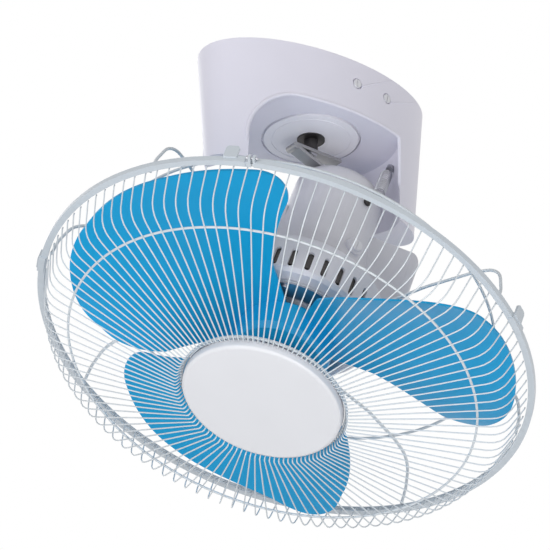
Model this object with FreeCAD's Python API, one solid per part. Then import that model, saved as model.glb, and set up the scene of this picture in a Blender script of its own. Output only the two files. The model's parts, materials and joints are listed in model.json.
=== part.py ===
import FreeCAD, Part
import math
import os
from FreeCAD import Placement, Rotation, Vector

# Oval base fixed to the ceiling, z = 0 at the ceiling face
BASE_LENGTH = 229.0
BASE_WIDTH = 120.0
BASE_DEPTH = 128.0
BASE_TAPER = 0.91
BASE_WALL = 3.0
ROOF_DEPTH = 50.1
ROOF_THICK = 3.0
LEG_DEPTH = 111.5
LEG_SLANT_ACROSS = 14.5
LEG_SLANT_ALONG = 3.7
TUNNEL_LEFT = 90.0
TUNNEL_CORNER = 38.0
TUNNEL_RADIUS = 76.0
WELL_RADIUS = 5.0
WELL_DEPTH = 1.6
WELL_Z = -21.0
WELL_ANGLES = (-88.0, -69.5, 69.5, 88.0)

# Ceiling plate and the drive inside the base
PLATE_LENGTH = 170.0
PLATE_WIDTH = BASE_WIDTH - 44.0
PLATE_THICK = 2.0
CEILING_SPACING = 120.0
CEILING_HOLE = 2.75
DISC_FLANGE = BASE_WIDTH / 2 - 12.0
DISC_HOLE = DISC_FLANGE - 5.0
DISC_RADIUS = DISC_FLANGE - 7.2
DISC_SCREW_RADIUS = DISC_FLANGE - 2.6
ORBIT_BUSH_RADIUS = 12.0
GEAR_CASE_SIZE = (64.0, 46.0, 14.0)
DRIVE_CAN_RADIUS = 24.0
DRIVE_CAN_HEIGHT = 17.0

# Crank: vertical shaft, folded bracket and inclined spindle
ORBIT_SHAFT_RADIUS = 5.0
SHAFT_END_RADIUS = 3.0
BRACKET_Z = -63.0
BRACKET_SHEET = 3.0
BRACKET_WIDTH = 12.0
BRACKET_REACH = 29.0
FOLD_X = -20.0
FOLD_INSET = 1.58272
SPINDLE_RADIUS = 4.0

# Head frame: tilted about Y, its origin where the fan axis meets the orbit axis
APEX_DEPTH = 181.3
TILT = 20.2
NECK_RADIUS = 39.0
NECK_REAR = (FOLD_X * math.sin(math.radians(TILT)) - 5.3
             + (APEX_DEPTH + BRACKET_Z - BRACKET_SHEET) * math.cos(math.radians(TILT)))
SEAM_Z = -28.0
MOTOR_RADIUS = 68.8
MOTOR_FRONT = -60.0
CASE_WALL = 3.0
VENT_COUNT = 30
VENT_WIDTH = 5.0
VENT_LENGTH = 20.0
EAR_ANGLES = (-26.0, 154.0)
EAR_REACH = 84.0
EAR_WIDTH = 27.0
BOSS = (5.0, -52.0, 8.0)
MOTOR_SHAFT_RADIUS = 4.0
STATOR_BORE = 31.0
ROTOR_RADIUS = 30.5

# Guard: heights are measured forward of the band plane
BAND_Z = -80.4
BAND_RADIUS = 216.4
BAND_LIP = BAND_RADIUS - 5.6
BAND_WIDTH = 4.8
BAND_SHEET = 0.8
BAND_SPLIT_ANGLE = 223.0
CLIP_ANGLES = (148.5, 218.0, 295.5)
CLIP_TAB = (11.6, 10.0, 2.2)
SPOKE_COUNT = 112
SPOKE_WIRE = 1.8
STRUT_ANGLES = (-25.0, 20.0, 109.0, 153.0, 197.0, 290.0)
STRUT_WIRE = 3.3
SUPPORT_RADIUS = BAND_RADIUS - 39.1
SUPPORT_WIRE = 2.8
CAP_RADIUS = 68.8
CAP_FRONT = 71.3
WIRE_EDGE = BAND_RADIUS - 7.2
STRUT_EDGE = WIRE_EDGE - 0.8
SPOKE_PATH = ((WIRE_EDGE, 0.6), (WIRE_EDGE, 2.0), (WIRE_EDGE - 6.8, 26.6), (WIRE_EDGE - 11.6, 33.9),
              (WIRE_EDGE - 19.8, 38.6), (CAP_RADIUS + 5.7, CAP_FRONT - 1.5),
              (CAP_RADIUS + 2.2, CAP_FRONT - 8.8))
REAR_RING_RADIUS = BAND_RADIUS - 46.4
REAR_RING_HEIGHT = -43.0
STRUT_SEAT = BAND_Z - MOTOR_FRONT + STRUT_WIRE / 2 + 0.35
STRUT_PATH = ((46.0, STRUT_SEAT), (MOTOR_RADIUS + 1.7, STRUT_SEAT), (129.0, -36.5),
              (REAR_RING_RADIUS + 2, REAR_RING_HEIGHT), (REAR_RING_RADIUS + 25, REAR_RING_HEIGHT),
              (STRUT_EDGE - 5.4, -34.0), (STRUT_EDGE - 0.9, -17.0), (STRUT_EDGE, -4.0), (STRUT_EDGE, -0.6))

# Three-blade wheel: outline arcs along and across one blade, and the height across it at each station
BLADE_COUNT = 3
BLADE_ANGLE = 66.0
BLADE_THICK = 2.2
BLADE_REACH = BAND_RADIUS - 15.9
BLADE_SPAN = 130.0
BLADE_STATIONS = ((20.0, -0.8), (72.0, -0.8), (120.0, 0.0), (160.0, 0.67), (210.0, 1.5))
BLADE_OUTLINE = (((56, -80), (85, -94.5), (115, -97)), ((115, -97), (150, -93), (173, -80)),
                 ((173, -80), (185, -66), (192, -48)), ((192, -48), (200.5, 2), (192.5, 52)),
                 ((192.5, 52), (176, 86), (156, 107)), ((156, 107), (133, 115), (111, 104)),
                 ((111, 104), (97, 81), (66, 46)))
BLADE_ROOT = ((66, 46), (24, 24), (24, -30), (56, -80))
HUB_RADIUS = 42.0
HUB_REAR = -11.0
HUB_FRONT = 24.0

# Tension spring between the right leg and the neck
SPRING_TOP = (67.0, -24.0, -68.0)
SPRING_POST = (7.0, NECK_REAR - 28.0)
SPRING_RADIUS = 4.6
SPRING_WIRE = 1.3
SPRING_TURNS = 14
SPRING_LEAD = 5.0

# Shared clearances
RUN = 0.05
SEAT = 0.05
FREE = 0.4

HEAD = Placement(Vector(0, 0, -APEX_DEPTH), Rotation(Vector(0, 1, 0), TILT))
NODES = {}


def add(name, *solids):
    """Keeps the solids of one node in the base frame."""
    bodies = [body for solid in solids for body in solid.Solids]
    NODES[name] = bodies[0] if len(bodies) == 1 else Part.makeCompound(bodies)


def add_head(name, *solids):
    """Keeps the solids of one node, moved from the head frame to the base frame."""
    for solid in solids:
        solid.Placement = HEAD.multiply(solid.Placement)
    add(name, *solids)


def z_of(height):
    """Head-frame z of a height forward of the band plane."""
    return BAND_Z - height


def turned(shape, angle):
    """A copy turned about the z axis."""
    copy = shape.copy()
    copy.rotate(Vector(0, 0, 0), Vector(0, 0, 1), angle)
    return copy


def rod(radius, z0, z1, x=0.0, y=0.0):
    """Round rod along z between two heights."""
    low, high = min(z0, z1), max(z0, z1)
    return Part.makeCylinder(radius, high - low, Vector(x, y, low))


def tube(inner, outer, z0, z1, x=0.0, y=0.0):
    """Round sleeve along z."""
    return rod(outer, z0, z1, x, y).cut(rod(inner, min(z0, z1) - 1, max(z0, z1) + 1, x, y))


def box(x0, x1, y0, y1, z0, z1):
    """Box between two corners."""
    return Part.makeBox(x1 - x0, y1 - y0, z1 - z0, Vector(x0, y0, z0))


def hexagon(across, z0, z1, x=0.0, y=0.0):
    """Hexagonal prism along z, its width across the flats."""
    radius = across / math.sqrt(3)
    angles = [math.radians(60 * i) for i in range(7)]
    points = [Vector(x + radius * math.cos(a), y + radius * math.sin(a), z0) for a in angles]
    return Part.Face(Part.makePolygon(points)).extrude(Vector(0, 0, z1 - z0))


def turned_profile(points, angle=360.0):
    """Solid of revolution about z from radius and height pairs."""
    corners = [Vector(r, 0, z) for r, z in points]
    face = Part.Face(Part.makePolygon(corners + corners[:1]))
    return face.revolve(Vector(0, 0, 0), Vector(0, 0, 1), angle)


def offset_line(path, shift):
    """Mitred parallel of an open line in the radius and height plane."""
    result = []
    for i, (r, z) in enumerate(path):
        before = path[max(i - 1, 0)]
        after = path[min(i + 1, len(path) - 1)]
        normals = []
        for a, b in ((before, (r, z)), ((r, z), after)):
            length = math.hypot(b[0] - a[0], b[1] - a[1])
            if length > 0:
                normals.append(((a[1] - b[1]) / length, (b[0] - a[0]) / length))
        nr = sum(n[0] for n in normals) / len(normals)
        nz = sum(n[1] for n in normals) / len(normals)
        scale = shift / (nr * nr + nz * nz)
        result.append((r + nr * scale, z + nz * scale))
    return result


def flat_wire(path, size):
    """Square wire along a line in the radial plane y = 0, heights forward of the band."""
    line = [(r, z_of(h)) for r, h in path]
    outline = offset_line(line, size / 2) + offset_line(line, -size / 2)[::-1]
    corners = [Vector(r, -size / 2, z) for r, z in outline]
    return Part.Face(Part.makePolygon(corners + corners[:1])).extrude(Vector(0, size, 0))


def height_on(path, radius):
    """Height of a guard line at one radius."""
    for (r0, h0), (r1, h1) in zip(path, path[1:]):
        if min(r0, r1) <= radius <= max(r0, r1) and r0 != r1:
            return h0 + (h1 - h0) * (radius - r0) / (r1 - r0)


def ring(r0, r1, h0, h1):
    """Square-section ring between two radii and two heights forward of the band."""
    return turned_profile([(r0, z_of(h0)), (r1, z_of(h0)), (r1, z_of(h1)), (r0, z_of(h1))])


def oval(length, width, z):
    """Elliptic wire at one height."""
    ellipse = Part.Ellipse(Vector(0, 0, z), length / 2, width / 2)
    return Part.Wire(ellipse.toShape())


def oval_body(inset, z0, z1):
    """Tapered oval solid of the base, drawn in by an inset."""
    wires = []
    for z in (z0, z1):
        k = 1 + (BASE_TAPER - 1) * -z / BASE_DEPTH
        wires.append(oval(BASE_LENGTH * k - 2 * inset, BASE_WIDTH * k - 2 * inset, z))
    return Part.makeLoft(wires, True, True)


def wall_frame(angle, z):
    """Placement on the outer wall with local z along the outward normal."""
    k = 1 + (BASE_TAPER - 1) * -z / BASE_DEPTH
    t = math.radians(angle)
    spot = Vector(BASE_LENGTH / 2 * k * math.cos(t), BASE_WIDTH / 2 * k * math.sin(t), z)
    normal = Vector(math.cos(t) / BASE_LENGTH, math.sin(t) / BASE_WIDTH, 0)
    return Placement(spot, Rotation(Vector(0, 0, 1), normal))


def placed(shape, frame):
    """A copy moved into a local frame."""
    copy = shape.copy()
    copy.Placement = frame.multiply(copy.Placement)
    return copy


def base_canopy():
    """Hollow oval body with a tunnel through both long sides and four screw wells."""
    body = oval_body(0, 0, -BASE_DEPTH)
    slant = box(-200, 200, -200, 200, -200, 0)
    slant.rotate(Vector(0, 0, 0), Vector(0, 1, 0), LEG_SLANT_ALONG)
    slant.rotate(Vector(0, 0, 0), Vector(1, 0, 0), LEG_SLANT_ACROSS)
    slant.translate(Vector(0, 0, -LEG_DEPTH))
    tunnel = box(-TUNNEL_LEFT, 0, -BASE_WIDTH, BASE_WIDTH, -BASE_DEPTH - 10, -ROOF_DEPTH)
    corner = [e for e in tunnel.Edges
              if abs(e.CenterOfMass.x + TUNNEL_LEFT) < 0.1 and abs(e.CenterOfMass.z + ROOF_DEPTH) < 0.1]
    tunnel = tunnel.makeFillet(TUNNEL_CORNER, corner)
    pocket = rod(TUNNEL_RADIUS, -BASE_DEPTH - 10, -ROOF_DEPTH)
    cavity = oval_body(BASE_WALL, 0, ROOF_THICK - ROOF_DEPTH)
    body = body.cut(slant).cut(tunnel).cut(pocket)
    body = body.cut(cavity)
    body = body.cut(rod(DISC_HOLE, -ROOF_DEPTH - 5, 0))
    for angle in WELL_ANGLES:
        frame = wall_frame(angle, WELL_Z)
        body = body.cut(placed(rod(WELL_RADIUS, -WELL_DEPTH, 5), frame))
        body = body.cut(placed(rod(2.1, -BASE_WALL - 2, 5), frame))
    return body


def ceiling_plate():
    """Steel plate with two ceiling holes, a cable hole and four screw tabs."""
    plate = box(-PLATE_LENGTH / 2, PLATE_LENGTH / 2, -PLATE_WIDTH / 2, PLATE_WIDTH / 2, -PLATE_THICK, 0)
    for angle in WELL_ANGLES:
        frame = wall_frame(angle, WELL_Z)
        inner = -BASE_WALL - SEAT
        tab = box(WELL_Z - 5, -WELL_Z, -6, 6, inner - 2, inner)
        arm = box(-WELL_Z - PLATE_THICK, -WELL_Z, -6, 6, inner - 26, inner)
        tab = placed(tab.fuse(arm).cut(rod(1.75, -BASE_WALL - 5, 0)), upright(frame))
        plate = plate.fuse(tab)
    for side in (-1, 1):
        plate = plate.cut(rod(CEILING_HOLE, -5, 1, side * CEILING_SPACING / 2))
    plate = plate.cut(rod(9, -5, 1, -30, 15))
    return plate.common(oval_body(BASE_WALL + SEAT, 0, -BASE_DEPTH)).removeSplitter()


def upright(frame):
    """The wall frame with its local x turned to point straight up."""
    normal = frame.Rotation.multVec(Vector(0, 0, 1))
    across = Vector(0, 0, 1).cross(normal) * -1
    return Placement(frame.Base, Rotation(Vector(0, 0, 1), across, normal, "XZY"))


def screw(head, shank, length, thick):
    """Pan screw along z, its head standing from z = 0 upwards, with a straight slot."""
    body = rod(head, 0, thick).fuse(rod(shank, -length, 0))
    return body.cut(box(-0.4, 0.4, -head, head, thick - 0.7, thick + 1))


def build_base():
    """Pieces that stay with the ceiling."""
    add("base_canopy", base_canopy())
    add("ceiling_plate", ceiling_plate())
    fixing = screw(4.0, 1.7, BASE_WALL + 3, 2.0)
    fixing.translate(Vector(0, 0, SEAT - WELL_DEPTH))
    add("canopy_screws", *[placed(fixing, wall_frame(angle, WELL_Z)) for angle in WELL_ANGLES])
    top = ROOF_THICK - ROOF_DEPTH
    flange = top + 2.0
    disc = rod(DISC_RADIUS, -ROOF_DEPTH - 0.6, top).fuse(rod(DISC_FLANGE, top + SEAT, flange))
    disc = disc.fuse(rod(DISC_RADIUS, top - 0.5, top + 0.5))
    disc = disc.fuse(rod(18, top, flange + 3)).cut(rod(ORBIT_BUSH_RADIUS + SEAT, -60, 0))
    disc = disc.cut(tube(DISC_RADIUS - 7.4, DISC_RADIUS - 6.4, -ROOF_DEPTH - 1, -ROOF_DEPTH - 0.1))
    spots = [(DISC_SCREW_RADIUS * math.cos(t), DISC_SCREW_RADIUS * math.sin(t))
             for t in (math.pi / 2, math.pi * 7 / 6, math.pi * 11 / 6)]
    for x, y in spots:
        disc = disc.cut(rod(1.3, -60, 0, x, y))
    add("orbit_disc", disc.removeSplitter())
    spots = [Placement(Vector(x, y, flange + SEAT), Rotation()) for x, y in spots]
    add("disc_screws", *[placed(screw(2.4, 1.25, 1.6, 1.6), spot) for spot in spots])
    bush = tube(ORBIT_SHAFT_RADIUS + RUN, ORBIT_BUSH_RADIUS, -ROOF_DEPTH - 2, flange + 3)
    add("orbit_bearing", bush)
    case_z = flange + 3 + SEAT
    length, width, height = GEAR_CASE_SIZE
    case = box(-length / 2 + 14, length / 2 + 14, -width / 2, width / 2, case_z, case_z + height)
    case = case.makeFillet(6, [e for e in case.Edges if abs(e.Vertexes[0].X - e.Vertexes[1].X) < 0.1
                               and abs(e.Vertexes[0].Y - e.Vertexes[1].Y) < 0.1])
    case = case.cut(rod(ORBIT_SHAFT_RADIUS + FREE, case_z - 1, case_z + height - 3))
    case = case.cut(rod(8.4, case_z - 1, case_z + 3))
    corners = [(-length / 2 + 19, -width / 2 + 5), (length / 2 + 9, -width / 2 + 5),
               (-length / 2 + 19, width / 2 - 5), (length / 2 + 9, width / 2 - 5)]
    for x, y in corners:
        case = case.cut(rod(1.7, case_z + height - 6, case_z + height + 1, x, y))
    posts = [rod(4.5, top + SEAT, case_z, x, y) for x, y in corners]
    for post in posts:
        outside = post.cut(rod(DISC_FLANGE + FREE, -60, 0))
        case = case.fuse(outside.Solids[0]) if outside.Solids else case
    add("gear_case", case.removeSplitter())
    can_z = case_z + height
    can = rod(DRIVE_CAN_RADIUS, can_z + SEAT, can_z + SEAT + 1.5, 18)
    can = can.fuse(rod(DRIVE_CAN_RADIUS - 1.5, can_z + SEAT, can_z + DRIVE_CAN_HEIGHT, 18))
    add("drive_motor", can.removeSplitter())
    add("case_screws", *[placed(screw(2.8, 1.6, 5.5, 1.8), Placement(Vector(x, y, can_z + SEAT), Rotation()))
                         for x, y in corners])
    block = box(-86, -68, -17, 17, top + SEAT, top + 13)
    for y in (-11, 0, 11):
        block = block.cut(rod(2.2, top + 5, top + 20, -81, y)).cut(rod(2.2, top + 5, top + 20, -73, y))
    add("terminal_block", block)


def build_crank():
    """Pieces that turn with the orbit shaft."""
    top = ROOF_THICK - ROOF_DEPTH + 5.0
    low = BRACKET_Z - BRACKET_SHEET - 2.8
    shaft = rod(ORBIT_SHAFT_RADIUS, BRACKET_Z + SEAT, top + 10.5)
    shaft = shaft.fuse(rod(SHAFT_END_RADIUS, low, BRACKET_Z + 1))
    shaft = shaft.fuse(rod(BRACKET_WIDTH / 2, BRACKET_Z + SEAT, -ROOF_DEPTH - 2.3))
    add("orbit_shaft", shaft.removeSplitter())
    add("shaft_clip", tube(ORBIT_SHAFT_RADIUS + SEAT, 7.8, top + 0.1, top + 1.6))
    half = BRACKET_WIDTH / 2
    upper = box(FOLD_X, BRACKET_REACH, -half, half, BRACKET_Z - BRACKET_SHEET, BRACKET_Z)
    seat = NECK_REAR + 4.0
    fold = HEAD.inverse().multVec(Vector(FOLD_X, 0, BRACKET_Z - BRACKET_SHEET))
    lower = box(fold.x + FOLD_INSET, 13, -half, half, seat, seat + BRACKET_SHEET)
    lower = lower.cut(rod(SPINDLE_RADIUS + SEAT, seat - 5, seat + 10))
    lower.Placement = HEAD
    fold = Part.makeCylinder(BRACKET_SHEET, BRACKET_WIDTH,
                             Vector(FOLD_X, -BRACKET_WIDTH / 2, BRACKET_Z - BRACKET_SHEET), Vector(0, 1, 0))
    bracket = upper.fuse(lower).fuse(fold).cut(rod(SHAFT_END_RADIUS + SEAT, BRACKET_Z - 3.5, 0))
    add("crank_bracket", bracket.removeSplitter())
    nut_z = BRACKET_Z - BRACKET_SHEET - SEAT
    nut = hexagon(10, nut_z - 2.4, nut_z).cut(rod(SHAFT_END_RADIUS + SEAT, -90, 0))
    add("shaft_nut", nut)
    head_z = seat + BRACKET_SHEET + SEAT
    spindle = rod(SPINDLE_RADIUS, NECK_REAR - 48, head_z).fuse(hexagon(11, head_z, head_z + 6))
    add_head("spindle", spindle.removeSplitter())
    add_head("thrust_washer", tube(SPINDLE_RADIUS + SEAT, 14.0, NECK_REAR + 0.3, seat - SEAT))
    nut = hexagon(17, NECK_REAR - 47, NECK_REAR - 41.5)
    add_head("spindle_nut", nut.cut(rod(SPINDLE_RADIUS + SEAT, 0, NECK_REAR)))


def rear_housing():
    """Bell-shaped rear casing with the spindle boss, an inner web and two screw ears."""
    wall = CASE_WALL
    low = NECK_REAR - 40
    ear_top = NECK_REAR - 46
    outer = [(18, NECK_REAR), (30, NECK_REAR), (36, NECK_REAR - 3), (NECK_RADIUS, NECK_REAR - 9),
             (NECK_RADIUS + 1, NECK_REAR - 56), (46, 8), (59, -15), (MOTOR_RADIUS, -22),
             (MOTOR_RADIUS, SEAM_Z)]
    inner = [(MOTOR_RADIUS - 6, SEAM_Z), (MOTOR_RADIUS - 6, -20), (55, -13), (42.5, 9), (9.05, 9), (9.05, 13),
             (42.2, 13), (NECK_RADIUS + 1 - wall, NECK_REAR - 56), (NECK_RADIUS - wall, NECK_REAR - 9),
             (17, NECK_REAR - 9), (17, low), (10.05, low), (10.05, NECK_REAR)]
    shell = turned_profile(outer + inner)
    for angle in EAR_ANGLES:
        ear = box(38, EAR_REACH, -EAR_WIDTH / 2, EAR_WIDTH / 2, SEAM_Z + 10, ear_top)
        far = [e for e in ear.Edges if abs(e.CenterOfMass.x - EAR_REACH) < 0.1 and
               (abs(e.CenterOfMass.z - ear_top) < 0.1 or abs(abs(e.CenterOfMass.y) - EAR_WIDTH / 2) < 0.1)]
        ear = ear.makeFillet(9, far)
        ear = ear.cut(turned_profile([(0, NECK_REAR - 1), (NECK_RADIUS, NECK_REAR - 9),
                                      (NECK_RADIUS + 0.5, NECK_REAR - 56), (45, 8), (58, -15), (64, -22),
                                      (64, SEAM_Z - 1), (0, SEAM_Z - 1)]))
        shell = shell.fuse(turned(ear, angle))
        pocket = box(MOTOR_RADIUS + 1, EAR_REACH - 3, -EAR_WIDTH / 2 + 4, EAR_WIDTH / 2 - 4, SEAM_Z - 1, 8)
        shell = shell.cut(turned(pocket, angle))
        shell = shell.cut(turned(rod(1.7, 0, 26, 77), angle))
    boss = Part.makeCylinder(8.0, 14.0, Vector(*BOSS), Vector(0, 1, 0))
    shell = shell.fuse(boss.cut(rod(43, -30, 60)))
    shell = shell.cut(Part.makeCylinder(2.1, 10.0, Vector(*BOSS), Vector(0, 1, 0)))
    post = Vector(SPRING_POST[0], -NECK_RADIUS - 6, SPRING_POST[1])
    shell = shell.cut(Part.makeCylinder(1.7, 14.0, post, Vector(0, 1, 0)))
    return shell.removeSplitter()


def motor_cover():
    """Slotted cup over the motor with a stepped front and a bearing boss."""
    front = MOTOR_FRONT
    outline = [(MOTOR_RADIUS, SEAM_Z - SEAT), (MOTOR_RADIUS, front + 3), (MOTOR_RADIUS - 3, front),
               (32, front), (29, front - 3.5), (15, front - 3.5), (15, front - 8), (9.05, front - 8),
               (9.05, front + 3), (28, front + 3), (31, front + 2.5), (MOTOR_RADIUS - 2.5, front + 2.5),
               (MOTOR_RADIUS - 2.5, SEAM_Z - SEAT)]
    cover = turned_profile(outline)
    half = VENT_WIDTH / 2
    middle = SEAM_Z - 18
    straight = VENT_LENGTH / 2 - half
    slot = box(MOTOR_RADIUS - 5, MOTOR_RADIUS + 3, -half, half, middle - straight, middle + straight)
    for end in (-straight, straight):
        tip = Vector(MOTOR_RADIUS - 5, 0, middle + end)
        slot = slot.fuse(Part.makeCylinder(half, 8, tip, Vector(1, 0, 0)))
    slots = [turned(slot.removeSplitter(), 360.0 / VENT_COUNT * i) for i in range(VENT_COUNT)]
    cover = cover.cut(Part.makeCompound(slots))
    window = turned_profile([(33.5, front - 1), (40, front - 1), (40, front + 4), (33.5, front + 4)], 36.0)
    windows = [turned(window, 60.0 * i + 12) for i in range(6)]
    cover = cover.cut(Part.makeCompound(windows))
    for i in range(4):
        cover = cover.cut(turned(rod(1.5, front - 1, front + 4, 51), 45 + 90 * i))
    return cover


def build_motor():
    """Fan motor and its casing, all in the head frame."""
    add_head("rear_housing", rear_housing())
    add_head("spindle_bearings", *[tube(SPINDLE_RADIUS + RUN, 10.0, z, z + 11)
                                   for z in (NECK_REAR - 39.9, NECK_REAR - 11)])
    add_head("motor_cover", motor_cover())
    stator_front = MOTOR_FRONT + 8
    core = tube(STATOR_BORE, MOTOR_RADIUS - 2.5 - SEAT, stator_front, SEAM_Z - 2 * SEAT)
    add_head("stator_core", core)
    coil_rear = tube(STATOR_BORE + 5, 54, SEAM_Z, SEAM_Z + 11)
    coil_front = tube(STATOR_BORE + 5, 54, stator_front - 5, stator_front - SEAT)
    add_head("stator_windings", coil_rear, coil_front)
    front = MOTOR_FRONT
    add_head("front_bearing", tube(MOTOR_SHAFT_RADIUS + RUN, 9.0, front - 8, front + 3))
    add_head("rear_bearing", tube(MOTOR_SHAFT_RADIUS + RUN, 9.0, 5, 14))
    add_head("capacitor", rod(10, 13 + SEAT, 36, 0, 27))
    ears = [placed(screw(3.4, 1.65, 15, 2.4), Placement(Vector(0, 0, 0), Rotation(Vector(1, 0, 0), 180)))
            for _ in EAR_ANGLES]
    for solid, angle in zip(ears, EAR_ANGLES):
        solid.translate(Vector(77, 0, 8 - SEAT))
        solid.rotate(Vector(0, 0, 0), Vector(0, 0, 1), angle)
    add_head("ear_screws", *ears)
    flat = Rotation(Vector(1, 0, 0), 90)
    spot = Placement(Vector(BOSS[0], BOSS[1] - SEAT, BOSS[2]), flat)
    add_head("boss_screw", placed(screw(5.0, 2.0, 9, 2.2), spot))
    x, z = SPRING_POST
    y = -math.sqrt(NECK_RADIUS ** 2 - x ** 2) - 0.9
    add_head("spring_post", placed(screw(3.6, 1.6, 6, 2.4), Placement(Vector(x, y, z), flat)))


def build_guard():
    """Wire guard, clamping band and centre cap in the head frame."""
    spoke = flat_wire(SPOKE_PATH, SPOKE_WIRE)
    spokes = [turned(spoke, 360.0 / SPOKE_COUNT * i) for i in range(SPOKE_COUNT)]
    half = SPOKE_WIRE / 2
    edge = BAND_WIDTH / 2 - BAND_SHEET
    outer = ring(WIRE_EDGE + half - 0.3, WIRE_EDGE + 3.7, 0.3, edge - 0.1)
    depth = SUPPORT_WIRE / 2
    height = height_on(SPOKE_PATH, SUPPORT_RADIUS) - depth - half + 0.3
    support = ring(SUPPORT_RADIUS - depth, SUPPORT_RADIUS + depth, height - depth, height + depth)
    r_in, h_in = SPOKE_PATH[-1]
    inner = ring(r_in - 1.6, r_in + 1.6, h_in - 2.4, h_in + 0.5)
    guard = outer.multiFuse([support, inner] + spokes)
    add_head("front_guard", guard)
    strut = flat_wire(STRUT_PATH, STRUT_WIRE)
    struts = [turned(strut, angle) for angle in STRUT_ANGLES]
    half = STRUT_WIRE / 2
    outer = ring(STRUT_EDGE + half - 0.3, WIRE_EDGE + 4.6, 0.1 - edge, -0.3)
    rear = ring(REAR_RING_RADIUS - half, REAR_RING_RADIUS + half, REAR_RING_HEIGHT - 2 * half,
                REAR_RING_HEIGHT - half + 1.0)
    hub = ring(42, 56, STRUT_SEAT - half, STRUT_SEAT + half)
    guard = outer.multiFuse([rear, hub] + struts)
    for i in range(4):
        guard = guard.cut(turned(rod(1.6, -80, -40, 51), 45 + 90 * i))
    add_head("rear_guard", guard.removeSplitter())
    plate_z = z_of(STRUT_SEAT + half + SEAT)
    plate = tube(40, 57, plate_z - 1.6, plate_z)
    screws = []
    for i in range(4):
        plate = plate.cut(turned(rod(1.6, -90, -40, 51), 45 + 90 * i))
        fix = placed(screw(3.0, 1.45, 7, 1.8), Placement(Vector(51, 0, plate_z - 1.6 - SEAT),
                                                         Rotation(Vector(1, 0, 0), 180)))
        screws.append(turned(fix, 45 + 90 * i))
    add_head("guard_plate", plate)
    add_head("guard_screws", *screws)
    wide = BAND_WIDTH / 2
    lip = [(BAND_LIP, wide), (BAND_RADIUS, wide), (BAND_RADIUS, -wide), (BAND_LIP, -wide), (BAND_LIP, -edge),
           (BAND_RADIUS - BAND_SHEET, -edge), (BAND_RADIUS - BAND_SHEET, edge), (BAND_LIP, edge)]
    band = turned_profile([(r, z_of(h)) for r, h in lip])
    lugs = []
    for side in (-1, 1):
        sides = sorted((side, side * 3))
        lug = box(BAND_RADIUS - 0.5, BAND_RADIUS + 4.8, *sides, z_of(2.2), z_of(-2.2))
        lugs.append(turned(lug, BAND_SPLIT_ANGLE))
    band = band.multiFuse(lugs)
    split = box(BAND_LIP - 1, BAND_RADIUS + 6, -1, 1, z_of(9), z_of(-9))
    band = band.cut(turned(split, BAND_SPLIT_ANGLE))
    hole = Part.makeCylinder(1.05, 20, Vector(BAND_RADIUS + 2.6, -10, BAND_Z), Vector(0, 1, 0))
    band = band.cut(turned(hole, BAND_SPLIT_ANGLE))
    add_head("guard_band", band.removeSplitter())
    bolt = placed(screw(1.9, 1.0, 8, 1.4), Placement(Vector(BAND_RADIUS + 2.6, -3 - SEAT, BAND_Z),
                                                     Rotation(Vector(1, 0, 0), 90)))
    add_head("band_screw", turned(bolt, BAND_SPLIT_ANGLE))
    skin = BAND_RADIUS + 1.0
    saddle = [(BAND_LIP + 1, wide + SEAT), (BAND_LIP + 1, wide + 1), (skin, wide + 1), (skin, -wide - 1),
              (BAND_LIP + 1, -wide - 1), (BAND_LIP + 1, -wide - SEAT), (BAND_RADIUS + SEAT, -wide - SEAT),
              (BAND_RADIUS + SEAT, wide + SEAT)]
    across, reach, thick = CLIP_TAB
    inside = BAND_RADIUS + 0.3
    tab = box(inside, inside + thick, -across / 2, across / 2, z_of(0), z_of(-wide - reach))
    ends = [e for e in tab.Edges if abs(e.CenterOfMass.z - z_of(-wide - reach)) < 0.1
            and abs(abs(e.CenterOfMass.y) - across / 2) < 0.1]
    tab = tab.makeFillet(3.0, ends)
    clip = turned(turned_profile([(r, z_of(h)) for r, h in saddle], 5.0), -1.5).fuse(tab)
    add_head("guard_clips", *[turned(clip.removeSplitter(), angle) for angle in CLIP_ANGLES])
    disc_top = h_in + 0.5
    add_head("cap_plate", rod(r_in - 1.6 - SEAT, z_of(disc_top), z_of(disc_top - 1.6)))
    dome = [(0, CAP_FRONT), (CAP_RADIUS - 3, CAP_FRONT - 0.7), (CAP_RADIUS - 1, CAP_FRONT - 1.4),
            (CAP_RADIUS, CAP_FRONT - 2.8), (CAP_RADIUS, disc_top + SEAT), (CAP_RADIUS - 2, disc_top + SEAT),
            (CAP_RADIUS - 2, CAP_FRONT - 4.4), (0, CAP_FRONT - 4.4)]
    add_head("front_cap", turned_profile([(r, z_of(h)) for r, h in dome]))


def blade():
    """One paddle: a twisted cambered sheet trimmed by its planform."""
    sections = []
    for x, along in BLADE_STATIONS:
        edges = []
        for lift in (0.0, BLADE_THICK):
            points = []
            for i in range(7):
                y = BLADE_SPAN * (i / 3 - 1)
                v = y / 100
                height = -3 - 12.6 * v + 3.6 * along + 3.9 * along * v + 13.4 * v ** 2 - 16 * v ** 3
                points.append(Vector(x, y, z_of(height + lift)))
            curve = Part.BSplineCurve()
            curve.interpolate(points)
            edges.append(curve.toShape())
        for end in (0, 1):
            low = edges[0].Vertexes[end].Point
            high = edges[1].Vertexes[end].Point
            edges.append(Part.makeLine(low, high))
        sections.append(Part.Wire(Part.__sortEdges__(edges)))
    sheet = Part.makeLoft(sections, True, False)
    k = BLADE_REACH / 200.5
    edges = [Part.Arc(*[Vector(x * k, y * k, 0) for x, y in arc]).toShape() for arc in BLADE_OUTLINE]
    root = [Vector(x * k, y * k, 0) for x, y in BLADE_ROOT]
    edges += [Part.makeLine(a, b) for a, b in zip(root, root[1:])]
    outline = Part.Face(Part.Wire(Part.__sortEdges__(edges)))
    outline.translate(Vector(0, 0, BAND_Z - 120))
    return sheet.common(outline.extrude(Vector(0, 0, 240))).Solids[0]


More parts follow.
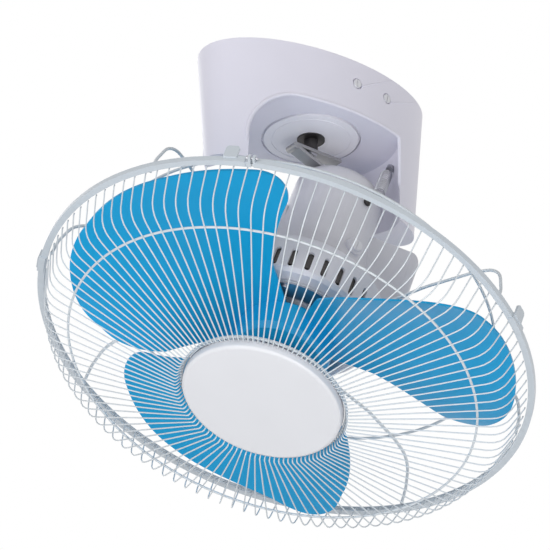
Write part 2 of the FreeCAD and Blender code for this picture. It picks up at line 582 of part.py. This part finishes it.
def build_rotor():
    """Pieces that spin with the motor shaft."""
    tip = z_of(HUB_FRONT + 10)
    shaft = rod(MOTOR_SHAFT_RADIUS, tip, 15.5)
    pin_z = z_of(HUB_REAR + 4)
    shaft = shaft.cut(Part.makeCylinder(1.5, 20, Vector(0, -10, pin_z), Vector(0, 1, 0)))
    add_head("motor_shaft", shaft)
    core = tube(MOTOR_SHAFT_RADIUS + SEAT, ROTOR_RADIUS, MOTOR_FRONT + 8, SEAM_Z)
    add_head("rotor_core", core)
    profile = [(MOTOR_SHAFT_RADIUS + SEAT, HUB_REAR), (HUB_RADIUS - 4, HUB_REAR), (HUB_RADIUS, HUB_REAR + 4),
               (HUB_RADIUS, HUB_FRONT - 9), (HUB_RADIUS - 4, HUB_FRONT - 4), (28, HUB_FRONT - 1),
               (16, HUB_FRONT), (MOTOR_SHAFT_RADIUS + SEAT, HUB_FRONT)]
    hub = turned_profile([(r, z_of(h)) for r, h in profile])
    one = blade().cut(rod(HUB_RADIUS - 6, -200, 100))
    wheel = hub.multiFuse([turned(one, BLADE_ANGLE + 360.0 / BLADE_COUNT * i) for i in range(BLADE_COUNT)])
    groove = Part.makeCylinder(1.6, 19, Vector(0, -9.5, pin_z), Vector(0, 1, 0))
    add_head("blade_wheel", wheel.cut(groove))
    add_head("drive_pin", Part.makeCylinder(1.45, 18, Vector(0, -9, pin_z), Vector(0, 1, 0)))
    nut = turned_profile([(MOTOR_SHAFT_RADIUS + SEAT, z_of(HUB_FRONT + SEAT)), (15, z_of(HUB_FRONT + SEAT)),
                          (14, z_of(HUB_FRONT + 10)), (10, z_of(HUB_FRONT + 13)), (0, z_of(HUB_FRONT + 13.5)),
                          (0, z_of(HUB_FRONT + 10.5)), (MOTOR_SHAFT_RADIUS + SEAT, z_of(HUB_FRONT + 10.5))])
    add_head("blade_nut", nut)


def biarc(p0, t0, p1, t1):
    """Two arcs, smooth where they meet, between two points with given directions."""
    chord = p1 - p0
    along = chord.dot(t0 + t1)
    bend = 2 * (1 - t0.dot(t1))
    reach = (math.sqrt(along ** 2 + bend * chord.dot(chord)) - along) / bend
    joint = (p0 + p1 + (t0 - t1) * reach) * 0.5
    return [arc_from(p0, t0, joint), arc_from(p1, t1 * -1, joint)]


def arc_from(start, direction, end):
    """Arc that leaves a point in one direction and ends at another point."""
    chord = end - start
    half = chord.Length / 2
    unit = chord * (0.5 / half)
    side = direction - unit * direction.dot(unit)
    angle = math.atan2(side.Length, direction.dot(unit))
    middle = (start + end) * 0.5 + side.normalize() * (half * math.tan(angle / 2))
    return Part.Arc(start, middle, end).toShape()


def build_spring():
    """Close-wound tension spring as one unbroken wire, and its eye on the leg."""
    x, z = SPRING_POST
    y = -math.sqrt(NECK_RADIUS ** 2 - x ** 2) - 0.9
    low = HEAD.multVec(Vector(x + 1.2, y - 2.4 - 0.35, z + 1.2))
    low_way = HEAD.Rotation.multVec(Vector(0, -1, 0))
    top = Vector(*SPRING_TOP)
    axis = (top - low).normalize()
    frame = Rotation(Vector(0, 0, 1), axis)
    lead = SPRING_LEAD + SPRING_WIRE
    coil_start = low + low_way * (SPRING_WIRE + 7.0) + axis * lead
    coil_end = top - axis * (lead + 1.5)
    axis = (coil_end - coil_start).normalize()
    length = (coil_end - coil_start).Length
    frame = Rotation(Vector(0, 0, 1), axis)
    pitch = length / SPRING_TURNS

    def on_coil(quarter):
        angle = quarter * math.pi / 2
        spot = Vector(SPRING_RADIUS * math.cos(angle), SPRING_RADIUS * math.sin(angle), pitch * quarter / 4)
        way = Vector(-SPRING_RADIUS * math.sin(angle), SPRING_RADIUS * math.cos(angle), pitch / (2 * math.pi))
        return coil_start + frame.multVec(spot), frame.multVec(way).normalize()

    straight = low + low_way * SPRING_WIRE
    edges = [Part.makeLine(low, straight)]
    edges += biarc(straight, low_way, *on_coil(0))
    for half_turn in range(2 * SPRING_TURNS):
        edges += biarc(*on_coil(2 * half_turn), *on_coil(2 * half_turn + 2))
    edges += biarc(*on_coil(4 * SPRING_TURNS), top - axis * SPRING_WIRE, axis)
    edges.append(Part.makeLine(top - axis * SPRING_WIRE, top))
    path = Part.Wire(Part.__sortEdges__(edges))
    profile = Part.Wire(Part.makeCircle(SPRING_WIRE / 2, low, low_way))
    pipe = Part.BRepOffsetAPI.MakePipeShell(path)
    pipe.add(profile)
    pipe.build()
    pipe.makeSolid()
    add("tension_spring", pipe.shape())
    points = path.discretize(Distance=0.8)
    least = min((points[i] - points[j]).Length - SPRING_WIRE
                for i in range(len(points)) for j in range(i + 8, len(points)))
    print("least self gap of the spring %.2f mm" % least)
    eye = top + axis * 0.35
    reach = math.sqrt(TUNNEL_RADIUS ** 2 - eye.y ** 2) - eye.x
    boss = Part.makeCylinder(3.2, 6.4, eye, axis)
    stem = Part.makeCylinder(1.8, reach + 2.0, eye + axis * 3.2, Vector(1, 0, 0))
    add("spring_eye", boss.fuse(stem).removeSplitter())
    NODES["base_canopy"] = NODES["base_canopy"].cut(
        Part.makeCylinder(1.85, reach + 2.5, eye + axis * 3.2, Vector(1, 0, 0)))


build_base()
build_crank()
build_motor()
build_guard()
build_rotor()
build_spring()
os.makedirs("parts", exist_ok=True)
for name, shape in NODES.items():
    shape.exportStep("parts/%s.step" % name)
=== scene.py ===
import json
import math
import bpy
import numpy as np
from mathutils import Matrix


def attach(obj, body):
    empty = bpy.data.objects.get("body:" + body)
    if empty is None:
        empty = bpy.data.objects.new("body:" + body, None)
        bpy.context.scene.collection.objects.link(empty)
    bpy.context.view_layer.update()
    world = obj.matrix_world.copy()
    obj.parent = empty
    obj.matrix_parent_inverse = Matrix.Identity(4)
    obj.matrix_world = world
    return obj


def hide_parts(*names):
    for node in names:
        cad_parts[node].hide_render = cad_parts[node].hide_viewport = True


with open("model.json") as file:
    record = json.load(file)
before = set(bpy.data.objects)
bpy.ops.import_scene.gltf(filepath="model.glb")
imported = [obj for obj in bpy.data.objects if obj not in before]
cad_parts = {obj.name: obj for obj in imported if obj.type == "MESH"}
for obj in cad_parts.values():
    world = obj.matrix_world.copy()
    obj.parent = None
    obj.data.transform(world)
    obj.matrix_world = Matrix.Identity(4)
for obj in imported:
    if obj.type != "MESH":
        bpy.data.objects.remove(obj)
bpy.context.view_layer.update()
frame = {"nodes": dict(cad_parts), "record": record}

# Lengths of pieces are in millimetres; the stage's are in metres
MM = 0.001
TURN = 2 * np.pi
UP = np.array([0.0, 0.0, 1.0])

# Head: tilt about Y, apex on the orbit axis, and the band's height in the head's own frame
TILT = math.radians(20.2)
APEX = np.array([0.0, 0.0, -181.3])
BAND_Z = -80.4

# Guard wires: lines of radius and height forward of the band, with the rounding at each inner corner
SPOKE_TURNS = np.arange(112) * TURN / 112
SPOKE_RADIUS = 0.62
SPOKE_LINE = [(209.2, 0.7), (209.2, 2.6), (199.5, 35.9), (74.2, 69.4), (71.2, 62.6)]
SPOKE_ROUND = [6.0, 20.0, 2.2]
STRUT_TURNS = np.radians([-25.0, 20.0, 109.0, 153.0, 197.0, 290.0])
STRUT_RADIUS = 1.35
STRUT_LINE = [(46.0, -18.4), (70.5, -18.4), (129.0, -36.5), (172.0, -43.0), (199.0, -43.0), (207.4, -17.0),
              (208.4, -4.0), (208.4, -0.8)]
STRUT_ROUND = [10.0, 80.0, 60.0, 19.0, 20.0, 20.0]

# Guard rings: radius, height forward of the band, wire radius, steps around and sides of the wire
EDGE_RING = (211.3, 0.9, 0.6, 180, 8)
SUPPORT_RING = (177.3, 39.9, 1.05, 160, 10)
INNER_RING = (71.2, 61.6, 1.4, 112, 8)
REAR_EDGE_RING = (211.6, -0.9, 0.6, 180, 8)
REAR_RING = (170.0, -45.1, 1.25, 160, 10)
HUB_RINGS = [(44.0, -18.4, 1.6, 96, 10), (54.5, -18.4, 1.6, 96, 10)]

# Spring between the neck and the right leg, in the base frame
SPRING_LOW = np.array([31.59, -42.02, -119.19])
SPRING_START = np.array([35.03, -48.57, -114.21])
SPRING_END = np.array([62.74, -26.17, -74.16])
SPRING_TOP = np.array([67.0, -24.0, -68.0])
SPRING_COIL = 4.9
SPRING_WIRE = 0.55
SPRING_TURNS = 13
SPRING_STEPS = 16

# Base wall: half length and half width at the ceiling, and how fast it narrows downwards
BASE_HALF = np.array([114.5, 60.0])
BASE_TAPER = 0.09 / 128.0

# Ribs on the near wall: degrees round the oval and height at both ends, radius at both ends, steps
RIBS = [((-85.5, -22.0), (-67.0, -1.0)), ((-66.5, -22.5), (-41.5, -1.5))]
RIB_RADIUS = (0.75, 0.30)
RIB_STEPS = 24

# Tunnel through the base, and the lip round its mouth: radius, share of it that is sunk, fade at both ends
TUNNEL_LEFT = 90.0
TUNNEL_CORNER = 38.0
TUNNEL_RADIUS = 76.0
ROOF_DEPTH = 50.1
LIP_RADIUS = 1.9
LIP_SUNK = 0.72
LIP_THIN = 0.2
LIP_FADE_STEPS = 5.0
LIP_LOW = -102.0
LIP_END_TOP = -52.0

# CAD nodes that only get softer edges, with the bevel's width
SOFT_EDGES = {"rear_housing": 1.2, "crank_bracket": 0.6}
SHARP_ANGLE = math.radians(40.0)
FLAT_ANGLE = math.radians(0.3)
WELD_METRES = 0.00001

# Lamps: name, place, power and width
LAMPS = [("key", (-2.9, -0.7, -0.9), 34.0, 1.4), ("under", (-0.6, -1.4, -2.05), 31.0, 1.8),
         ("right", (2.4, -1.4, -0.9), 6.0, 1.4), ("back", (0.4, 2.2, 0.9), 7.0, 1.6)]
LAMP_TARGET = np.array([-0.05, 0.0, -0.17])
WORLD_LIGHT = 0.46

# Floor: half width, height, and the glow that makes it white where it is seen
FLOOR_HALF = 40.0
FLOOR_Z = -8.0
FLOOR_GLOW = 0.62

# Camera that was fitted to the photo
CAMERA_PLACE = np.array([-2.29805, -2.91949, -2.22144])
CAMERA_FORWARD = np.array([0.53671, 0.69335, 0.48084])
CAMERA_AZIMUTH = math.radians(37.743)
CAMERA_ROLL = math.radians(-0.385)
CAMERA_REACH = 60.0
SENSOR_WIDTH = 36.0
FOCAL_PIXELS = 5000.0
PICTURE_PIXELS = 550.0


def unit(vectors):
    """Vectors over their length."""
    return vectors / np.linalg.norm(vectors, axis=-1, keepdims=True)


def circle(steps):
    """Angles once round, without the last one."""
    return np.linspace(0, TURN, steps, endpoint=False)


def head_to_base(points):
    """Tilts points about Y and lowers them to the apex: x' = x cos t + z sin t, z' = z cos t - x sin t."""
    x, y, z = points[..., 0], points[..., 1], points[..., 2]
    c, s = math.cos(TILT), math.sin(TILT)
    return np.stack([x * c + z * s, y, z * c - x * s], axis=-1) + APEX


def ring_faces(rings, sides, closed):
    """Outward quads between rings of points, numbered ring * sides + side, closed into a torus if asked."""
    i = np.arange(rings if closed else rings - 1)[:, None]
    j = np.arange(sides)[None, :]
    i2, j2 = (i + 1) % rings, (j + 1) % sides
    corners = [i * sides + j2, i2 * sides + j2, i2 * sides + j, i * sides + j]
    return np.stack([c.reshape(-1) for c in np.broadcast_arrays(*corners)], axis=-1)


def tube_faces(rings, sides):
    """Outward quads of a tube and of its two flat ends, for rings that turn left about the way along."""
    i = np.arange(sides // 2 - 1)
    end = np.stack([i, i + 1, sides - 2 - i, sides - 1 - i], axis=-1)
    return np.concatenate([ring_faces(rings, sides, False), end[:, ::-1], end + (rings - 1) * sides])


def piece(name, points, faces, body, slot, nodes=()):
    """Makes one smooth mesh from millimetre points and quads, riding on a body in place of CAD nodes."""
    mesh = bpy.data.meshes.new(name)
    mesh.from_pydata((points.reshape(-1, 3) * MM).tolist(), [], faces.tolist())
    mesh.polygons.foreach_set("use_smooth", np.ones(len(mesh.polygons), dtype=bool))
    mesh.update()
    obj = bpy.data.objects.new(name, mesh)
    bpy.context.scene.collection.objects.link(obj)
    obj.data.materials.append(FINISHES[slot])
    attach(obj, body)
    if nodes:
        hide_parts(*nodes)
    return obj


def rounded(line, radii, steps):
    """A line whose corners are replaced by arcs: each touches both sides and turns from one to the other."""
    line = np.array(line)
    parts = [line[:1]]
    for before, corner, after, radius in zip(line, line[1:], line[2:], radii):
        a, b = unit(before - corner), unit(after - corner)
        half = math.acos(np.clip(a @ b, -1, 1)) / 2
        centre = corner + unit(a + b) * radius / math.sin(half)
        start = corner + a * radius / math.tan(half) - centre
        end = corner + b * radius / math.tan(half) - centre
        sweep = math.pi - 2 * half
        t = np.linspace(0, 1, steps)[:, None]
        parts.append(centre + (np.sin((1 - t) * sweep) * start + np.sin(t * sweep) * end) / math.sin(sweep))
    parts.append(line[-1:])
    return np.concatenate(parts)


def radial_wires(line, radius, sides, turns):
    """Round wires in radial planes, one at each turn: point + radius (cos a normal + sin a tangent)."""
    r, h = line[:, 0], line[:, 1]
    along = unit(np.gradient(line, axis=0))
    a = circle(sides)
    out = r[:, None] - along[:, 1:2] * radius * np.cos(a)
    height = h[:, None] + along[:, 0:1] * radius * np.cos(a)
    side = np.broadcast_to(radius * np.sin(a), out.shape)
    c, s = np.cos(turns)[:, None, None], np.sin(turns)[:, None, None]
    z = np.broadcast_to(BAND_Z - height, (len(turns),) + out.shape)
    points = np.stack([out * c - side * s, out * s + side * c, z], axis=-1)
    faces = tube_faces(len(line), sides)
    step = np.arange(len(turns))[:, None, None] * len(line) * sides
    return points.reshape(-1, 3), (faces[None] + step).reshape(-1, 4)


def wire_ring(radius, height, wire, around, sides):
    """Torus about the fan axis: (radius + wire cos a) around, wire sin a along it."""
    u = circle(around)[:, None]
    a = circle(sides)[None, :]
    out = radius + wire * np.cos(a)
    z = np.broadcast_to(BAND_Z - height + wire * np.sin(a), (around, sides))
    points = np.stack([out * np.cos(u), out * np.sin(u), z], axis=-1)
    return points.reshape(-1, 3), ring_faces(around, sides, True)


def swept(line, radius, sides, guide):
    """Round wire along a line: point + radius (cos a side + sin a lift).

    The side is along x guide and the lift is along x side, both of length 1.
    """
    along = unit(np.gradient(line, axis=0))
    side = unit(np.cross(along, guide))
    lift = np.cross(along, side)
    a = circle(sides)[None, :, None]
    width = np.broadcast_to(np.asarray(radius, dtype=float), (len(line),))[:, None, None]
    points = line[:, None] + width * (np.cos(a) * side[:, None] + np.sin(a) * lift[:, None])
    return points.reshape(-1, 3), tube_faces(len(line), sides)


def joined(*surfaces):
    """One point list and one face list from several surfaces."""
    starts = np.cumsum([0] + [len(points) for points, _ in surfaces])
    faces = [face + start for (_, face), start in zip(surfaces, starts)]
    return np.concatenate([points for points, _ in surfaces]), np.concatenate(faces)


class Flow:
    """One value in a node tree; the arithmetic signs add Math nodes."""

    def __init__(self, nodes, socket):
        self.nodes = nodes
        self.socket = socket

    def _math(self, operation, first, second):
        return self.nodes.node("ShaderNodeMath", {"operation": operation}, {0: first, 1: second})

    def __add__(self, other):
        return self._math("ADD", self, other)

    def __sub__(self, other):
        return self._math("SUBTRACT", self, other)

    def __mul__(self, other):
        return self._math("MULTIPLY", self, other)

    __radd__ = __add__


class Nodes:
    """A node tree whose nodes are added one at a time."""

    def __init__(self, tree):
        self.tree = tree

    def node(self, kind, settings=None, inputs=None, output=0):
        """Adds a node, sets it up, feeds its sockets and returns one output."""
        made = self.tree.nodes.new(kind)
        for key, value in (settings or {}).items():
            setattr(made, key, value)
        for key, value in (inputs or {}).items():
            self.feed(made.inputs[key], value)
        return Flow(self, made.outputs[output])

    def feed(self, socket, value):
        """Links a value from the tree, or sets a plain one."""
        if isinstance(value, Flow):
            self.tree.links.new(value.socket, socket)
        else:
            socket.default_value = value

    def seen(self):
        """1 for what the camera, metal and glass show, and 0 for rays that only light a surface."""
        camera, glossy, glass = [self.node("ShaderNodeLightPath", output="Is " + kind + " Ray")
                                 for kind in ("Camera", "Glossy", "Transmission")]
        return self.node("ShaderNodeMath", {"operation": "MAXIMUM"}, {0: camera + glass, 1: glossy})


class Finish(Nodes):
    """A material, made from its shader and the nodes that feed it."""

    def __init__(self, name):
        self.material = bpy.data.materials.new(name)
        self.material.use_nodes = True
        super().__init__(self.material.node_tree)
        self.shader = self.tree.nodes["Principled BSDF"]

    def noise(self, scale, detail, stretch=None):
        """Noise on the piece's own coordinates, in cells per metre, stretched along its axes if asked."""
        place = self.node("ShaderNodeTexCoord", output="Object")
        if stretch:
            place = self.node("ShaderNodeMapping", None, {"Vector": place, "Scale": stretch})
        inputs = {"Vector": place, "Scale": scale, "Detail": detail}
        return self.node("ShaderNodeTexNoise", None, inputs, "Fac")

    def tint(self, amount, light, dark):
        """Colour between two tones."""
        ends = {"Factor": amount, "A": (*dark, 1), "B": (*light, 1)}
        return self.node("ShaderNodeMix", {"data_type": "RGBA"}, ends, "Result")

    def bump(self, height, strength, distance):
        """Small relief on the surface."""
        inputs = {"Strength": strength, "Distance": distance, "Height": height}
        self.feed(self.shader.inputs["Normal"], self.node("ShaderNodeBump", None, inputs, "Normal"))

    def set(self, **values):
        """Sets the shader's own sockets by their names with underscores."""
        for key, value in values.items():
            self.feed(self.shader.inputs[key.replace("_", " ").title().replace("Ior", "IOR")], value)
        return self


def shade(colour, factor):
    """A colour made lighter or darker, with no channel over 1."""
    return tuple(min(1.0, channel * factor) for channel in colour)


def moulded(name, colour, roughness, grain, shine=0.5):
    """Moulded plastic: cloudy tone, faint flow marks in the gloss and a fine spark-eroded grain."""
    finish = Finish(name)
    cloud = finish.noise(scale=14.0, detail=3.0)
    flow = finish.noise(scale=45.0, detail=2.0, stretch=(1.0, 1.0, 0.25))
    fine = finish.noise(scale=900.0, detail=1.0)
    tone = finish.tint(cloud, light=shade(colour, 1.03), dark=shade(colour, 0.95))
    finish.set(base_color=tone, roughness=roughness + (flow - 0.5) * 0.12, specular_ior_level=shine)
    finish.bump(fine, strength=grain, distance=0.0002)
    return finish.material


def coated_wire(name, colour, roughness):
    """Powder coat: orange peel relief with slightly glossier crowns."""
    finish = Finish(name)
    peel = finish.noise(scale=700.0, detail=1.0)
    cloud = finish.noise(scale=20.0, detail=2.0)
    tone = finish.tint(cloud, light=colour, dark=shade(colour, 0.93))
    finish.set(base_color=tone, roughness=roughness + (peel - 0.5) * 0.2)
    finish.bump(peel, strength=0.12, distance=0.0003)
    return finish.material


def drawn_metal(name, colour, roughness, stretch, speck=0.0):
    """Plated or drawn metal: streaks along one way, with dull specks in the plating."""
    finish = Finish(name)
    streak = finish.noise(scale=260.0, detail=3.0, stretch=stretch)
    patch = finish.noise(scale=60.0, detail=4.0)
    tone = finish.tint(patch, light=colour, dark=shade(colour, 0.8 - speck))
    finish.set(base_color=tone, roughness=roughness + (streak - 0.5) * 0.25, metallic=1.0)
    finish.bump(streak, strength=0.08, distance=0.0002)
    return finish.material


def wound_copper(name, colour):
    """Enamelled winding: fine rings of wire as bands across the coil."""
    finish = Finish(name)
    place = finish.node("ShaderNodeTexCoord", output="Object")
    inputs = {"Vector": place, "Scale": 220.0, "Distortion": 1.5}
    bands = finish.node("ShaderNodeTexWave", {"wave_type": "RINGS"}, inputs, "Fac")
    tone = finish.tint(bands, light=colour, dark=shade(colour, 0.4))
    finish.set(base_color=tone, roughness=0.35 + bands * 0.1, metallic=0.8)
    finish.bump(bands, strength=0.4, distance=0.0005)
    return finish.material


# Finishes by slot, and by node where a node differs from its slot; the cap and the disc differ only as
# lighter copies of their slot's plastic, which is painted light
FINISHES = {
    "base_plastic": moulded("base_plastic", (0.79, 0.775, 0.875), 0.36, 0.05),
    "head_plastic": moulded("head_plastic", (0.68, 0.68, 0.74), 0.35, 0.05),
    # The front cap is the head plastic made lighter than the housing: painted light, the cap lit brighter
    # than the shaded housing
    "front_cap": moulded("cap_plastic_painted_light", (0.75, 0.76, 0.80), 0.35, 0.05),
    # The orbit disc is the base plastic made nearly white: painted light that cancels the shade the neck and
    # bracket cast on it
    "orbit_disc": moulded("disc_plastic_painted_light", (0.93, 0.915, 0.98), 0.40, 0.05),
    "band_plastic": moulded("band_plastic", (0.56, 0.61, 0.66), 0.36, 0.015),
    "guard_coat": coated_wire("guard_coat", (0.66, 0.705, 0.745), 0.38),
    "blade_blue": moulded("blade_blue", (0.008, 0.345, 0.665), 0.34, 0.02, 0.2),
    "zinc_sheet": drawn_metal("zinc_sheet", (0.46, 0.46, 0.47), 0.45, (0.1, 1.0, 1.0), 0.1),
    "plated_steel": drawn_metal("plated_steel", (0.50, 0.50, 0.54), 0.34, (1.0, 1.0, 0.1)),
    "dark_steel": drawn_metal("dark_steel", (0.085, 0.08, 0.08), 0.5, (1.0, 1.0, 0.1)),
    "white_screw": moulded("white_screw", (0.76, 0.76, 0.80), 0.35, 0.04),
    "bronze": drawn_metal("bronze", (0.50, 0.36, 0.18), 0.45, (1.0, 1.0, 0.2)),
    "copper": wound_copper("copper", (0.60, 0.26, 0.10)),
    "nylon": moulded("nylon", (0.72, 0.71, 0.66), 0.5, 0.08),
    "black_plastic": moulded("black_plastic", (0.02, 0.02, 0.022), 0.45, 0.08),
}


def dressed():
    """Gives every CAD node its finish."""
    for entry in frame["record"]["subparts"]:
        node = frame["nodes"][entry["node"]]
        node.data.materials.clear()
        node.data.materials.append(FINISHES.get(entry["node"], FINISHES[entry["material_slot"]]))


def guard(node, wires, rings):
    """Bent radial wires and the rings welded to them, moved from the head's frame to the base's."""
    points, faces = joined(wires, *[wire_ring(*ring) for ring in rings])
    piece(node + "_wires", head_to_base(points), faces, "head", "guard_coat", [node])


def guards():
    """Front: straight spokes with rounded shoulders and three rings. Rear: six bent struts and four rings."""
    spokes = radial_wires(rounded(SPOKE_LINE, SPOKE_ROUND, steps=5), SPOKE_RADIUS, 6, SPOKE_TURNS)
    guard("front_guard", spokes, [EDGE_RING, SUPPORT_RING, INNER_RING])
    struts = radial_wires(rounded(STRUT_LINE, STRUT_ROUND, steps=7), STRUT_RADIUS, 10, STRUT_TURNS)
    guard("rear_guard", struts, [REAR_EDGE_RING, REAR_RING, *HUB_RINGS])


def spring():
    """Close-wound coil: start + axis z + coil (cos t e1 + sin t e2), with a straight hook at both ends."""
    axis = SPRING_END - SPRING_START
    e1 = unit(np.cross(unit(axis), UP))
    e2 = np.cross(unit(axis), e1)
    t = np.linspace(0, TURN * SPRING_TURNS, SPRING_TURNS * SPRING_STEPS + 1)[:, None]
    ease = np.clip(np.minimum(t, t[-1] - t) / np.pi, 0, 1)
    coil = SPRING_START + axis * t / t[-1] + SPRING_COIL * ease * (np.cos(t) * e1 + np.sin(t) * e2)
    line = np.concatenate([SPRING_LOW[None], coil, SPRING_TOP[None]])
    points, faces = swept(line, SPRING_WIRE, 8, unit(axis))
    piece("spring_coil", points, faces, "base", "plated_steel", ["tension_spring"])


def wall_half(z):
    """Half length and half width of the wall at a height: a k and b k with k = 1 + taper z."""
    return BASE_HALF * (1 + BASE_TAPER * np.asarray(z)[..., None])


def ribs():
    """Thin beads on the wall: x = a k cos t, y = b k sin t, thinning out towards the rim."""
    surfaces = []
    u = np.linspace(0, 1, RIB_STEPS)
    for (t0, z0), (t1, z1) in RIBS:
        t = np.radians(t0 + (t1 - t0) * u)
        z = z0 + (z1 - z0) * u
        across = wall_half(z) * np.stack([np.cos(t), np.sin(t)], axis=-1)
        line = np.concatenate([across, z[:, None]], axis=-1)
        surfaces.append(swept(line, RIB_RADIUS[0] + (RIB_RADIUS[1] - RIB_RADIUS[0]) * u, 8, UP))
    points, faces = joined(*surfaces)
    piece("base_ribs", points, faces, "base", "base_plastic")


def mouth():
    """Outline of the tunnel's mouth in x and z: left side, corner, roof and right end.

    The right end is where the wall meets the round end of the tunnel: x x = (r r - b b) / (1 - b b / a a).
    """
    corner_x, corner_z = TUNNEL_CORNER - TUNNEL_LEFT, -ROOF_DEPTH - TUNNEL_CORNER
    left = np.stack([np.full(8, -TUNNEL_LEFT), np.linspace(LIP_LOW, corner_z, 8)], axis=-1)
    t = np.linspace(np.pi, np.pi / 2, 25)[1:]
    bend = np.stack([corner_x + TUNNEL_CORNER * np.cos(t), corner_z + TUNNEL_CORNER * np.sin(t)], axis=-1)
    z = np.concatenate([[-ROOF_DEPTH], np.linspace(LIP_END_TOP, LIP_LOW, 24)])
    a2, b2 = (wall_half(z) ** 2).T
    end = np.stack([np.sqrt((TUNNEL_RADIUS ** 2 - b2) / (1 - b2 / a2)), z], axis=-1)
    roof = np.stack([np.linspace(bend[-1, 0], end[0, 0], 26)[1:-1], np.full(24, -ROOF_DEPTH)], axis=-1)
    return np.concatenate([left, bend, roof, end])


def tunnel_lip():
    """Rounded lip of the tunnel's mouth on both walls, sunk into the wall: y = b k sqrt(1 - (x / a k)^2)."""
    edge = mouth()
    along = unit(np.gradient(edge, axis=0))
    back = np.stack([-along[:, 1], along[:, 0]], axis=-1)
    spot = edge + back * LIP_RADIUS * LIP_SUNK
    a, b = wall_half(edge[:, 1]).T
    y = LIP_RADIUS * LIP_SUNK - b * np.sqrt(1 - (edge[:, 0] / a) ** 2)
    step = np.arange(len(edge))
    fade = np.clip(np.minimum(step, step[::-1]) / LIP_FADE_STEPS, LIP_THIN, 1)
    near = np.stack([spot[:, 0], y, spot[:, 1]], axis=-1)
    far = near * np.array([1.0, -1.0, 1.0])
    sides = [swept(line, LIP_RADIUS * fade, 12, np.array([0.0, 1.0, 0.0])) for line in (near, far)]
    points, faces = joined(*sides)
    piece("tunnel_lip", points, faces, "base", "base_plastic")


def welded(name):
    """A CAD node whose triangles are joined at their corners."""
    node = frame["nodes"][name]
    node.modifiers.new("weld", "WELD").merge_threshold = WELD_METRES
    return node


def softened(name, width):
    """Rounds a CAD node's sharp edges: triangles are welded, flat areas joined and sharp edges bevelled."""
    node = welded(name)
    flat = node.modifiers.new("flat", "DECIMATE")
    flat.decimate_type = "DISSOLVE"
    flat.angle_limit = FLAT_ANGLE
    bevel = node.modifiers.new("soften", "BEVEL")
    bevel.width = width * MM
    bevel.segments = 3
    bevel.limit_method = "ANGLE"
    bevel.angle_limit = SHARP_ANGLE


def evened(name):
    """Smooths the shading of a CAD node's dome: triangles are welded and their normals weighted by area."""
    welded(name).modifiers.new("even", "WEIGHTED_NORMAL").keep_sharp = True


def facing(place, forward, up):
    """Matrix of a lamp or camera that looks forward: side = forward x up, then a true up = side x forward."""
    side = unit(np.cross(forward, up))
    rows = np.eye(4)
    rows[:3] = np.stack([side, np.cross(side, forward), -forward, place], axis=-1)
    return Matrix(rows.tolist())


def placed(name, data):
    """An object in the scene."""
    obj = bpy.data.objects.new(name, data)
    bpy.context.scene.collection.objects.link(obj)
    return obj


def ground():
    """Pale floor far below, white where it is seen."""
    mesh = bpy.data.meshes.new("floor")
    corners = [(x * FLOOR_HALF, y * FLOOR_HALF, FLOOR_Z) for x, y in ((-1, -1), (1, -1), (1, 1), (-1, 1))]
    mesh.from_pydata(corners, [], [(0, 1, 2, 3)])
    floor = placed("floor", mesh)
    pale = Finish("pale_floor").set(base_color=(0.85, 0.85, 0.85, 1), roughness=0.8, emission_strength=1.0)
    pale.set(emission_color=pale.seen() * FLOOR_GLOW)
    mesh.materials.append(pale.material)


def lights():
    """Soft lamps round the object, and a world that is white where it is seen and lights the object less."""
    for name, place, power, width in LAMPS:
        lamp = bpy.data.lights.new(name, "AREA")
        lamp.energy = power
        lamp.size = width
        place = np.array(place)
        placed(name, lamp).matrix_world = facing(place, unit(LAMP_TARGET - place), UP)
    world = bpy.data.worlds.new("studio")
    world.use_nodes = True
    nodes = Nodes(world.node_tree)
    level = {"Value": nodes.seen(), "To Min": WORLD_LIGHT, "To Max": 1.0}
    back = nodes.tree.nodes["Background"]
    nodes.feed(back.inputs["Color"], (1, 1, 1, 1))
    nodes.feed(back.inputs["Strength"], nodes.node("ShaderNodeMapRange", None, level, "Result"))
    bpy.context.scene.world = world


def camera():
    """Camera fitted to the photo: right = cos roll * level right + sin roll * down."""
    lens = bpy.data.cameras.new("camera")
    lens.sensor_width = SENSOR_WIDTH
    lens.lens = SENSOR_WIDTH * FOCAL_PIXELS / PICTURE_PIXELS
    lens.clip_end = CAMERA_REACH
    level_right = np.array([math.cos(CAMERA_AZIMUTH), -math.sin(CAMERA_AZIMUTH), 0.0])
    down = np.cross(CAMERA_FORWARD, level_right)
    right = math.cos(CAMERA_ROLL) * level_right + math.sin(CAMERA_ROLL) * down
    view = placed("camera", lens)
    view.matrix_world = facing(CAMERA_PLACE, CAMERA_FORWARD, np.cross(right, CAMERA_FORWARD))
    bpy.context.scene.camera = view
    bpy.context.scene.view_settings.view_transform = "Standard"


dressed()
guards()
spring()
ribs()
tunnel_lip()
for name, width in SOFT_EDGES.items():
    softened(name, width)
evened("front_cap")
ground()
lights()
camera()
